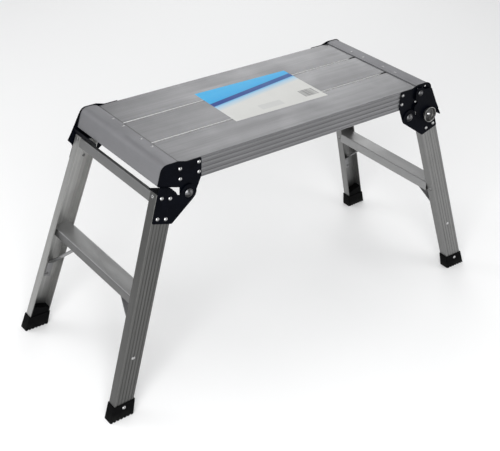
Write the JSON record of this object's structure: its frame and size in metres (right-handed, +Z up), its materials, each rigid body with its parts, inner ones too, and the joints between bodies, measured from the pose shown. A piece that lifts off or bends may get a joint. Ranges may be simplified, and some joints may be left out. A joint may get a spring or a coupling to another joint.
{
  "type": "folding work platform bench",
  "caption": "Folding aluminium work platform with a ribbed plank deck on splayed channel legs, each leg pair with a step, black hinge brackets, latch levers and rubber feet.",
  "frame": {"origin": "on the floor, under the middle of the deck", "axes": "+X along the deck, +Y across it to the back, +Z up"},
  "size_m": [1.0196, 0.3924, 0.5125],
  "materials": {
    "deck_aluminium": "mill finish with fine grooves along the planks",
    "cap_aluminium": "satin, slightly duller than the planks",
    "frame_aluminium": "satin extrusion, brushed along its length",
    "black_bracket": "satin black powder coat",
    "bright_rivet": "bright zinc plate",
    "spring_steel": "oiled steel",
    "brace_steel": "zinc plate",
    "foot_rubber": "matt moulded rubber",
    "label_paper": "gloss printed label, no wording"
  },
  "bodies": {
    "platform": {"deck_brace_left": "frame_aluminium", "deck_brace_right": "frame_aluminium", "deck_brace_rivets": "bright_rivet", "deck_plank_back": "deck_aluminium", "deck_plank_front": "deck_aluminium", "deck_plank_middle": "deck_aluminium", "end_cap_left": "cap_aluminium", "end_cap_right": "cap_aluminium", "end_cap_rivets": "bright_rivet", "left_latch_pivot": "bright_rivet", "left_latch_spring": "spring_steel", "left_upper_bracket_back": "black_bracket", "left_upper_bracket_front": "black_bracket", "pivot_rivets": "bright_rivet", "product_label": "label_paper", "right_latch_pivot": "bright_rivet", "right_latch_spring": "spring_steel", "right_upper_bracket_back": "black_bracket", "right_upper_bracket_front": "black_bracket", "upper_bracket_rivets": "bright_rivet"},
    "left_legs": {"left_brace_back": "brace_steel", "left_brace_front": "brace_steel", "left_brace_rivets": "bright_rivet", "left_bracket_rivets": "bright_rivet", "left_crossbar": "frame_aluminium", "left_foot_back": "foot_rubber", "left_foot_front": "foot_rubber", "left_foot_rivets": "bright_rivet", "left_frame_rivets": "bright_rivet", "left_leg_back": "frame_aluminium", "left_leg_front": "frame_aluminium", "left_lower_bracket_back": "black_bracket", "left_lower_bracket_front": "black_bracket", "left_pivot_washers": "spring_steel", "left_step": "frame_aluminium", "left_step_plugs": "frame_aluminium"},
    "right_legs": {"right_brace_back": "brace_steel", "right_brace_front": "brace_steel", "right_brace_rivets": "bright_rivet", "right_bracket_rivets": "bright_rivet", "right_crossbar": "frame_aluminium", "right_foot_back": "foot_rubber", "right_foot_front": "foot_rubber", "right_foot_rivets": "bright_rivet", "right_frame_rivets": "bright_rivet", "right_leg_back": "frame_aluminium", "right_leg_front": "frame_aluminium", "right_lower_bracket_back": "black_bracket", "right_lower_bracket_front": "black_bracket", "right_pivot_washers": "spring_steel", "right_step": "frame_aluminium", "right_step_plugs": "frame_aluminium"},
    "left_latch": {"left_latch_cup": "bright_rivet", "left_latch_knob": "bright_rivet", "left_latch_lever": "black_bracket"},
    "right_latch": {"right_latch_cup": "bright_rivet", "right_latch_knob": "bright_rivet", "right_latch_lever": "black_bracket"}
  },
  "joints": [
    {"name": "left_legs_fold", "type": "hinge", "parent": "platform", "child": "left_legs", "pos_m": [-0.2932, 0, 0.4409], "axis": [0, -1, 0], "range_deg": [0, 117]},
    {"name": "right_legs_fold", "type": "hinge", "parent": "platform", "child": "right_legs", "pos_m": [0.2932, 0, 0.4409], "axis": [0, 1, 0], "range_deg": [0, 104]},
    {"name": "left_latch_turn", "type": "hinge", "parent": "platform", "child": "left_latch", "pos_m": [-0.3165, 0.155, 0.4945], "axis": [0, 1, 0], "range_deg": [0, 12], "stiffness_Nm_per_rad": 1, "springref_deg": -20.05},
    {"name": "right_latch_turn", "type": "hinge", "parent": "platform", "child": "right_latch", "pos_m": [0.3165, -0.155, 0.4945], "axis": [0, -1, 0], "range_deg": [0, 12], "stiffness_Nm_per_rad": 1, "springref_deg": -20.05}
  ]
}
